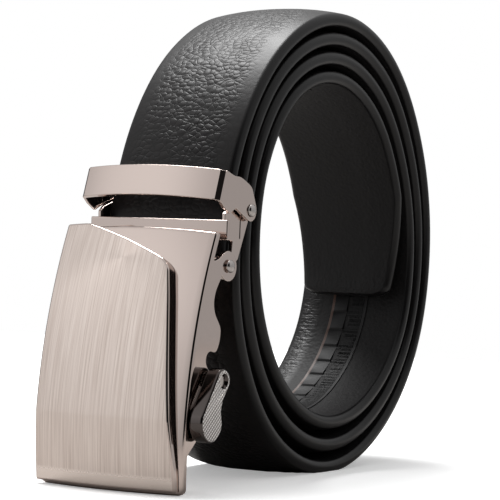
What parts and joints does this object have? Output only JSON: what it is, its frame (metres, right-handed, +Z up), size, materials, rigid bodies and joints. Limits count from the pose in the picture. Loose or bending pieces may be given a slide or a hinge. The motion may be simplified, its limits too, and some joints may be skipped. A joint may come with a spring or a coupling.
{
  "type": "ratchet belt",
  "caption": "Black leather belt rolled up on its edge, with a bowed metal plate buckle hinged to a strap clamp, a swinging keeper bar, a side release lever and a toothed inner track.",
  "frame": {"origin": "on the surface that the rolled strap stands on, below the middle of the roll and in the middle of the strap's width", "axes": "+Z up, X across the strap's width with the release lever on the +X side, -Y towards the buckle's face"},
  "size_m": [0.0471, 0.148, 0.126],
  "materials": {
    "strap_leather": "black pebbled full-grain leather, semi-gloss, with painted edges",
    "track_plastic": "dark grey moulded nylon",
    "polished_nickel": "polished warm nickel plate on cast zinc",
    "brushed_nickel": "warm nickel plate, brushed along its length",
    "rivet_steel": "polished steel"
  },
  "bodies": {
    "strap_body": {"strap": "strap_leather", "ratchet_track": "track_plastic", "strap_clamp": "polished_nickel", "keeper_rivet_left": "rivet_steel", "keeper_rivet_right": "rivet_steel"},
    "keeper_body": {"keeper": "polished_nickel"},
    "buckle_body": {"buckle_housing": "polished_nickel", "face_panel": "brushed_nickel", "hinge_pin": "rivet_steel"},
    "lever_body": {"release_lever": "polished_nickel", "lever_shaft": "rivet_steel", "pawl": "polished_nickel"}
  },
  "joints": [
    {"name": "keeper_swing", "type": "hinge", "parent": "strap_body", "child": "keeper_body", "pos_m": [0, -0.05235, 0.0696], "axis": [-1, 0, 0], "range_deg": [-8, 26]},
    {"name": "buckle_hinge", "type": "hinge", "parent": "strap_body", "child": "buckle_body", "pos_m": [0, -0.06266, 0.0555], "axis": [-1, 0, 0], "range_deg": [0, 20]},
    {"name": "lever_release", "type": "hinge", "parent": "buckle_body", "child": "lever_body", "pos_m": [0, -0.07064, 0.0276], "axis": [-1, 0, 0], "range_deg": [0, 18], "stiffness_Nm_per_rad": 0.02, "springref_deg": -17.19}
  ]
}
